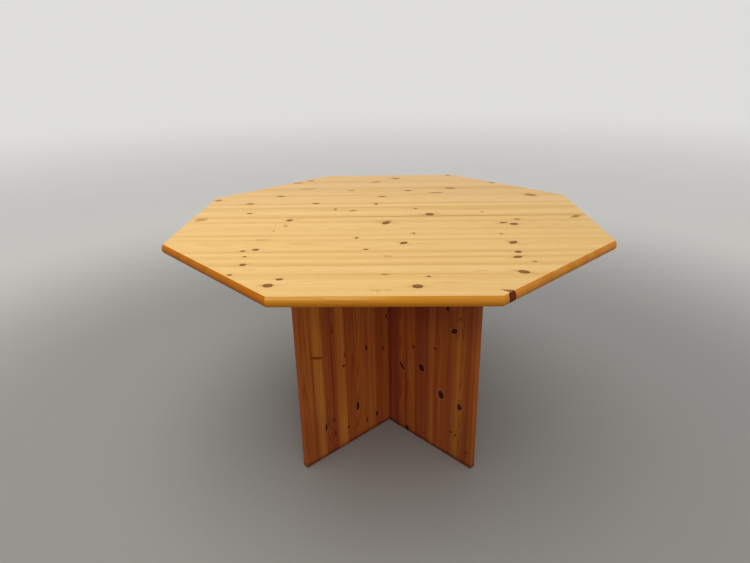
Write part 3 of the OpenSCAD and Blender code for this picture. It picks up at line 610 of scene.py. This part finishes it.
PANEL_B_STREAKS = [
    (148.4, 91.7, 130, 2.6, 0.90), (328.4, 135.7, 220, 2.4, 0.35), (108.4, 217.7, 100, 3, 0.40), (298.4, 263.7, 160, 3, 0.30),
    (478.4, 219.7, 100, 3, 0.30), (428.4, 331.7, 170, 3, 0.30), (300, -60, 200, 3, 0.40), (160, -180, 130, 2.5, 0.50),
    (430, -236, 160, 3, 0.40), (240, -300, 180, 2.4, 0.50),
]
PANEL_B_STAVES = [-330, -284, -236, -190, -146, -98, -52, 6, 59, 94, 133, 182, 216, 264, 313, 343, 368]
PANEL_B_TONES = [
    (-368, 0.62), (-330, 0.48), (-284, 0.70), (-240, 0.44), (-190, 0.60), (-148, 0.34), (-100, 0.56),
    (-52, 0.40), (0, 0.40), (15.7, 0.18), (51.7, 0.22), (63.7, 0.44), (77.7, 0.54), (91.7, 0.30),
    (105.7, 0.54), (123.7, 0.60), (135.7, 0.24), (157.7, 0.33), (177.7, 0.34), (193.7, 0.54), (207.7, 0.62),
    (219.7, 0.38), (237.7, 0.50), (259.7, 0.46), (271.7, 0.44), (287.7, 0.56), (305.7, 0.68), (315.7, 0.52),
    (331.7, 0.50), (343.7, 0.34), (351.7, 0.52), (368, 0.60),
]

GOLDEN_A = [(70, -214, 60, 9, 0.7), (300, -345, 150, 10, 0.6), (150, -112, 90, 9, 0.4), (250, 120, 110, 14, 0.6)]
GOLDEN_B = [(365, 314, 95, 24, 0.8), (62, 298, 50, 9, 0.9), (330, 236, 110, 12, 0.5), (250, -200, 120, 18, 0.6)]

LEAF_KNOTS = [
    (-512, -118, 11, 9, 0, "d"), (-404, 62, 8, 6, 0, "m"), (-330, -52, 12, 9, 16, "d"), (-268, 148, 9, 7, 0, "d"),
    (-160, -150, 6, 5, 0, "m"), (-92, 28, 14, 10, -12, "d"), (18, 112, 7, 6, 0, "m"), (64, -84, 10, 9, 0, "d"),
    (176, 168, 9, 6, 0, "m"), (222, -20, 13, 9, 0, "d"), (318, -132, 8, 7, 0, "m"), (372, 76, 10, 8, 14, "d"),
    (466, -36, 6, 6, 0, "d"), (540, 128, 12, 9, 0, "m"), (-560, 20, 7, 6, 0, "m"),
]
LEAF_STREAKS = [(-200, -60, 300, 3, 0.3), (150, 60, 360, 3, 0.3), (300, -100, 220, 3, 0.25), (-380, 110, 180, 3, 0.3)]
LEAF_STAVES = [-144, -98, -46, 4, 52, 98, 148, 192]
LEAF_TONES = [
    (-192, 0.55), (-170, 0.66), (-144, 0.36), (-120, 0.58), (-98, 0.66), (-70, 0.40), (-46, 0.56), (-20, 0.64),
    (4, 0.38), (30, 0.60), (52, 0.68), (76, 0.44), (98, 0.54), (124, 0.66), (148, 0.40), (170, 0.58), (192, 0.60),
]

r = math.sqrt(0.5)
X, Y, Z = (1, 0, 0), (0, 1, 0), (0, 0, 1)
top_front_mat = pine("pine_top_front", X, Y, Z, (-0.6, 0.0), FRONT_STAVES, FRONT_TONES, FRONT_KNOTS, FRONT_STREAKS, dict(TOP_LOOK, spread=0.72), 11)
rear_look = dict(TOP_LOOK, spread=0.90, bleach=((0.02, 0.60), (0.97, 0.98, 1.20)))
top_rear_mat = pine("pine_top_rear", X, Y, Z, (0.0, 0.6), REAR_STAVES, REAR_TONES, REAR_KNOTS, REAR_STREAKS, rear_look, 23)
leaf_look = dict(TOP_LOOK, through_mid=0.696)
leaf_mat = pine("pine_leaf", X, Y, Z, (-0.192, 0.192), LEAF_STAVES, LEAF_TONES, LEAF_KNOTS, LEAF_STREAKS, leaf_look, 37)
panel_a_mat = pine("pine_panel_a", Z, (r, r, 0.0), (r, -r, 0.0), (-0.368, 0.368), PANEL_A_STAVES, PANEL_A_TONES,
                   PANEL_A_KNOTS, PANEL_A_STREAKS, dict(LEG_LOOK, golden=GOLDEN_A, spread=0.90, streak=0.54), 41)
# this board's shaded tint is a painted shadow of the top
panel_b_mat = pine("pine_panel_b", Z, (r, -r, 0.0), (r, r, 0.0), (-0.368, 0.368), PANEL_B_STAVES, PANEL_B_TONES,
                   PANEL_B_KNOTS, PANEL_B_STREAKS, dict(LEG_LOOK, shaded=(0.78, 0.70, 1.0), golden=GOLDEN_B, spread=1.15, streak=0.66), 59)


# ---------------------------------------------------------------- beech, nylon and steel

def beech(name, along, seed, base=(214, 172, 124)):
    """Oiled beech: fine even grain, short dark flecks, a touch darker on its ends."""
    t = Tree(name)
    p = t.here()
    facing = t.facing()
    stretch = tuple(1.0 if a else 40.0 for a in along)
    shifted = t.v("ADD", p, (seed * 0.37, seed * 0.21, seed * 0.11))
    grain = t.noise(t.v("MULTIPLY", shifted, tuple(2.0 * s for s in stretch)), 1.0, 3.0, 0.6)
    fibre = t.noise(t.v("MULTIPLY", shifted, tuple(12.0 * s for s in stretch)), 1.0, 2.0, 0.6)
    fleck = t.noise(t.v("MULTIPLY", shifted, tuple(260.0 if a else 1300.0 for a in along)), 1.0, 0.0, 0.5)
    fleck = t.smooth(fleck, 0.66, 0.76)
    cloud = t.noise(shifted, 9.0, 2.0, 0.5)
    colour = t.ramp(grain, [(0.25, lin(*[c * 0.86 for c in base])), (0.5, lin(*base)), (0.75, lin(*[min(255, c * 1.08) for c in base]))], "LINEAR")
    colour = t.tint(colour, t.comb(*[t.m("MULTIPLY_ADD", t.m("SUBTRACT", fibre, 0.5), g, 1.0) for g in (0.16, 0.22, 0.28)]))
    colour = t.mix(t.m("MULTIPLY", fleck, 0.55), colour, t.tint(colour, (0.60, 0.46, 0.38)))
    colour = t.tint(colour, t.comb(*[t.m("MULTIPLY_ADD", t.m("SUBTRACT", cloud, 0.5), g, 1.0) for g in (0.16, 0.20, 0.22)]))
    end = t.smooth(t.m("ABSOLUTE", t.v("DOT_PRODUCT", facing, along)), 0.5, 0.9)
    colour = t.mix(end, colour, t.tint(colour, (0.74, 0.62, 0.52)))
    rough = t.m("MULTIPLY_ADD", fibre, 0.18, 0.42)
    height = t.m("MULTIPLY_ADD", fleck, -0.6, fibre)
    return t.finish(colour, rough, t.bump(height, 0.25, 0.0002), Specular_IOR_Level=0.45)


def nylon(name):
    """Brown moulded nylon, scuffed where it meets the floor."""
    t = Tree(name)
    p = t.here()
    mottle = t.noise(p, 260.0, 3.0, 0.6)
    colour = t.ramp(mottle, [(0.3, lin(92, 58, 34)), (0.7, lin(126, 84, 52))], "LINEAR")
    down = t.smooth(t.sep(p)[2], 0.0012, 0.0002)
    scuff = t.m("MULTIPLY", down, t.smooth(t.noise(t.v("MULTIPLY", p, (300.0, 900.0, 300.0)), 1.0, 2.0, 0.6), 0.4, 0.7))
    colour = t.mix(t.m("MULTIPLY", scuff, 0.6), colour, lin(168, 150, 130))
    rough = t.m("MULTIPLY_ADD", scuff, 0.25, t.m("MULTIPLY_ADD", mottle, 0.12, 0.34))
    return t.finish(colour, rough, t.bump(mottle, 0.2, 0.0001), Specular_IOR_Level=0.5)


def zinc(name):
    """Zinc-plated steel, faintly yellow, brushed and a little stained."""
    t = Tree(name)
    p = t.here()
    stain = t.noise(p, 140.0, 3.0, 0.6)
    fine = t.noise(t.v("MULTIPLY", p, (900.0, 2600.0, 900.0)), 1.0, 2.0, 0.6)
    colour = t.ramp(stain, [(0.30, lin(158, 152, 132)), (0.5, lin(192, 190, 180)), (0.72, lin(206, 206, 202))], "LINEAR")
    spot = t.smooth(t.noise(p, 620.0, 1.0, 0.5), 0.72, 0.80)
    colour = t.mix(t.m("MULTIPLY", spot, 0.5), colour, lin(120, 104, 82))
    rough = t.m("MULTIPLY_ADD", fine, 0.20, t.m("MULTIPLY_ADD", stain, 0.14, 0.20))
    return t.finish(colour, rough, t.bump(fine, 0.15, 0.00005), Metallic=0.95)


beech_y = [beech("beech_along_y_%d" % i, Y, 1.0 + 3 * i, base) for i, base in
           enumerate(((214, 172, 124), (206, 162, 114), (220, 180, 134)))]
beech_x = [beech("beech_along_x_%d" % i, X, 2.0 + 3 * i, base) for i, base in
           enumerate(((210, 168, 120), (218, 176, 130)))]
dowel_mat = beech("beech_dowel", Y, 20.0, (226, 196, 148))
nylon_mat = nylon("nylon_glide")
zinc_mat = zinc("zinc_steel")

ASSIGN = {
    "top_front": top_front_mat, "top_rear": top_rear_mat, "leaf": leaf_mat,
    "base_panel_a": panel_a_mat, "base_panel_b": panel_b_mat,
    "floor_glides": nylon_mat, "front_bearer": beech_x[0], "rear_bearer": beech_x[1],
    "left_rail": beech_y[0], "right_rail": beech_y[2],
    "front_left_cleat": beech_y[1], "front_right_cleat": beech_y[2],
    "rear_left_cleat": beech_y[0], "rear_right_cleat": beech_y[1],
    "front_left_runner": beech_y[2], "front_right_runner": beech_y[0],
    "rear_left_runner": beech_y[1], "rear_right_runner": beech_y[2],
    "front_left_stop": beech_y[1], "front_right_stop": beech_y[1],
    "rear_left_stop": beech_y[0], "rear_right_stop": beech_y[0],
    "front_dowels": dowel_mat, "leaf_dowels": dowel_mat,
}
for node_name, obj in NODES.items():
    mat = ASSIGN.get(node_name, zinc_mat)
    obj.data.materials.clear()
    obj.data.materials.append(mat)


# ---------------------------------------------------------------- floor, world and lights

def make_floor():
    me = bpy.data.meshes.new("floor")
    n, radius = 96, 40.0
    verts = [(0.0, 0.0, 0.0)] + [(radius * math.cos(2 * math.pi * i / n), radius * math.sin(2 * math.pi * i / n), 0.0) for i in range(n)]
    faces = [(0, 1 + i, 1 + (i + 1) % n) for i in range(n)]
    me.from_pydata(verts, [], faces)
    o = bpy.data.objects.new("floor", me)
    scene.collection.objects.link(o)
    t = Tree("floor")
    p = t.here()
    soft = t.noise(p, 1.4, 3.0, 0.5)
    fine = t.noise(p, 60.0, 3.0, 0.6)
    tone = t.m("MULTIPLY_ADD", t.m("SUBTRACT", soft, 0.5), 0.05, t.m("MULTIPLY_ADD", t.m("SUBTRACT", fine, 0.5), 0.03, 1.0))
    away = t.v("LENGTH", p)
    # plain grey paint near the object, paler far off
    far = t.smooth(away, 1.25, 3.1)
    colour = t.tint(tone, t.mix(far, (*lin(152, 151, 149), 1.0), (*lin(216, 215, 213), 1.0)))
    bsdf = t.node("ShaderNodeBsdfPrincipled")
    t.put(bsdf.inputs["Base Color"], colour)
    t.put(bsdf.inputs["Roughness"], t.m("MULTIPLY_ADD", soft, 0.15, 0.50))
    bsdf.inputs["Specular IOR Level"].default_value = 0.2
    # far from the object the floor fades into the backdrop
    clear = t.node("ShaderNodeBsdfTransparent")
    mix = t.node("ShaderNodeMixShader")
    t.put(mix.inputs[0], t.smooth(away, 3.0, 10.0))
    t.nt.links.new(bsdf.outputs[0], mix.inputs[1])
    t.nt.links.new(clear.outputs[0], mix.inputs[2])
    out = t.node("ShaderNodeOutputMaterial")
    t.nt.links.new(mix.outputs[0], out.inputs[0])
    me.materials.append(t.mat)


def make_world():
    world = bpy.data.worlds.new("studio")
    world.use_nodes = True
    nt = world.node_tree
    nt.nodes.clear()
    out = nt.nodes.new("ShaderNodeOutputWorld")
    path = nt.nodes.new("ShaderNodeLightPath")

    def plain(colour, strength):
        n = nt.nodes.new("ShaderNodeBackground")
        n.inputs["Color"].default_value = (*colour, 1.0)
        n.inputs["Strength"].default_value = strength
        return n

    fill, gloss, seen = plain(lin(250, 250, 250), 0.32), plain(lin(224, 224, 224), 0.75), plain(lin(222, 221, 219), 1.0)
    first, second = nt.nodes.new("ShaderNodeMixShader"), nt.nodes.new("ShaderNodeMixShader")
    nt.links.new(path.outputs["Is Glossy Ray"], first.inputs[0])
    nt.links.new(fill.outputs[0], first.inputs[1])
    nt.links.new(gloss.outputs[0], first.inputs[2])
    nt.links.new(path.outputs["Is Camera Ray"], second.inputs[0])
    nt.links.new(first.outputs[0], second.inputs[1])
    nt.links.new(seen.outputs[0], second.inputs[2])
    nt.links.new(second.outputs[0], out.inputs[0])
    scene.world = world


def lamp(name, kind, at, target, energy, colour=(1.0, 1.0, 1.0), **more):
    data = bpy.data.lights.new(name, kind)
    data.energy = energy
    data.color = colour
    for key, value in more.items():
        setattr(data, key, value)
    o = bpy.data.objects.new(name, data)
    scene.collection.objects.link(o)
    o.location = at
    o.rotation_mode = "QUATERNION"
    o.rotation_quaternion = (Vector(target) - Vector(at)).to_track_quat("-Z", "Y")
    return o


make_floor()
make_world()
lamp("sky", "SUN", (0.15, -0.7, 3.0), (0.0, 0.0, 0.0), 1.16, lin(255, 252, 247), angle=math.radians(60.0))
lamp("front", "SUN", (0.46, -4.39, 2.35), (0.0, 0.0, 0.0), 0.775, lin(255, 252, 247), angle=math.radians(40.0))
lamp("left_window", "AREA", (-0.85, -0.25, 2.2), (-0.4, 0.0, 0.74), 11.8, lin(255, 253, 242), shape="SQUARE", size=1.6)
